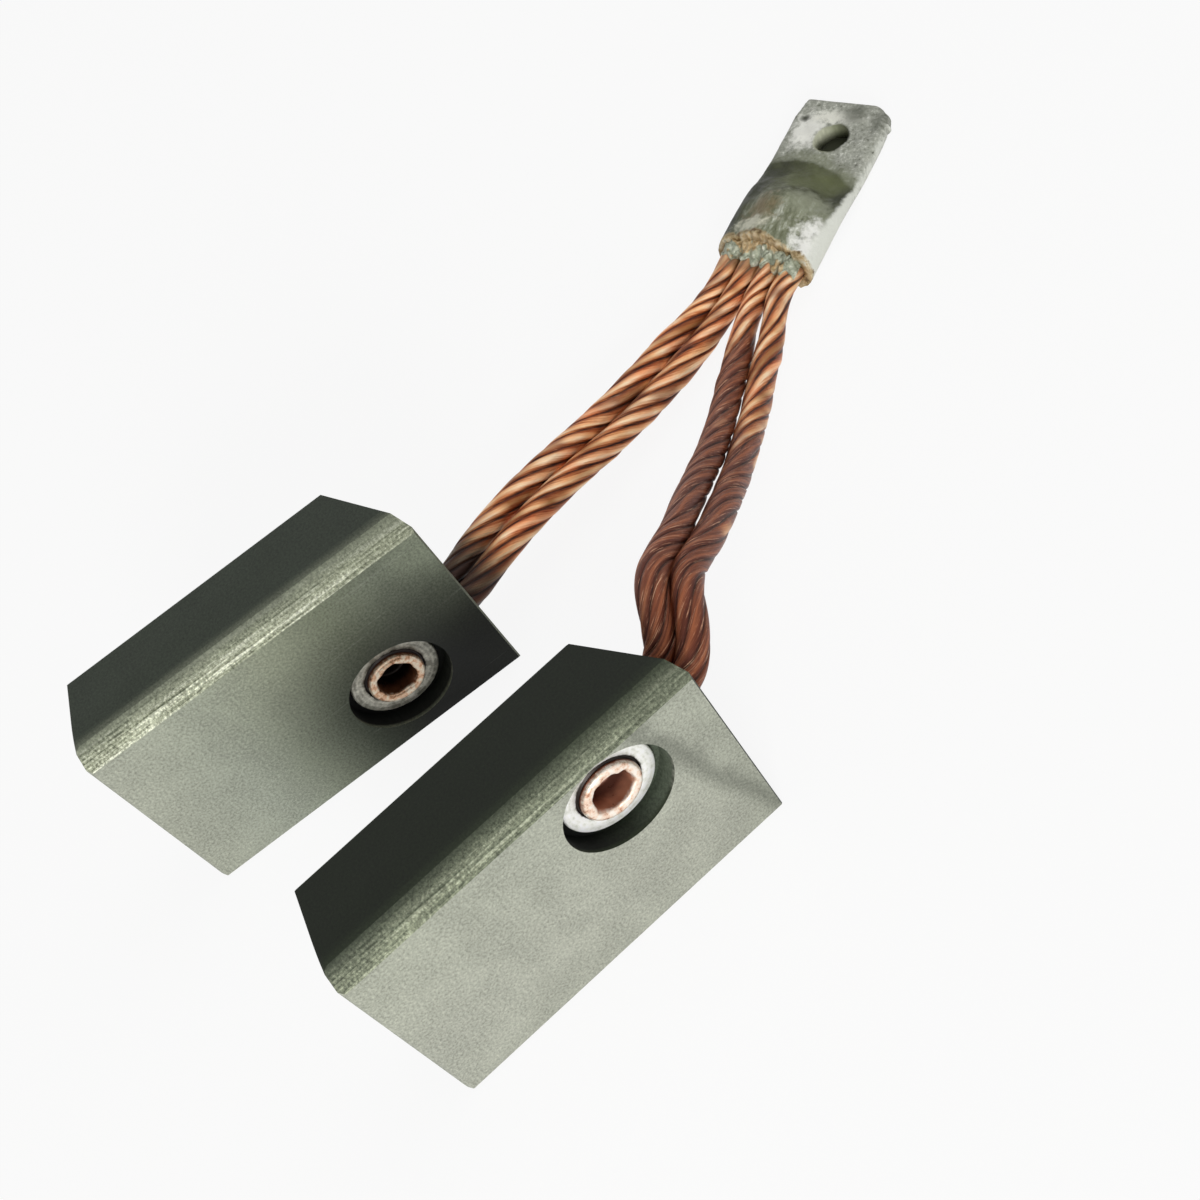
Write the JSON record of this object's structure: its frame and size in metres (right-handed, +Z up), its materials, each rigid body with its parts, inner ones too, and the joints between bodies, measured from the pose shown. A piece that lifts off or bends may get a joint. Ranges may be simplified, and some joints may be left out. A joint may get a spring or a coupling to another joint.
{
  "type": "carbon brush",
  "caption": "Split carbon brush: two bevelled metal-graphite blocks with riveted copper shunt cables soldered into one flattened tube terminal.",
  "frame": {"origin": "middle of the footprint, on the surface that the blocks and the terminal lie on", "axes": "+Z up, +Y from the contact ends towards the terminal, +X the way the blocks' outer faces look"},
  "size_m": [0.1163, 0.1731, 0.04],
  "materials": {
    "carbon": "fine-grained metal-graphite, dark pressed sides and paler ground faces",
    "rivet_copper": "bright copper",
    "tinned_steel": "tinned, dull bright",
    "bare_copper_strand": "bare stranded copper, slightly tarnished",
    "tinned_copper": "dip-tinned copper tube, mottled",
    "solder": "dull solder"
  },
  "bodies": {
    "root": {"carbon_block_left": "carbon", "carbon_block_right": "carbon", "rivet_left": "rivet_copper", "rivet_right": "rivet_copper", "front_washer_left": "tinned_steel", "front_washer_right": "tinned_steel", "rear_washer_left": "tinned_steel", "rear_washer_right": "tinned_steel", "shunt_cable_left_inner": "bare_copper_strand", "shunt_cable_left_outer": "bare_copper_strand", "shunt_cable_right_inner": "bare_copper_strand", "shunt_cable_right_outer": "bare_copper_strand", "terminal_lug": "tinned_copper", "lug_solder": "solder"}
  },
  "joints": []
}
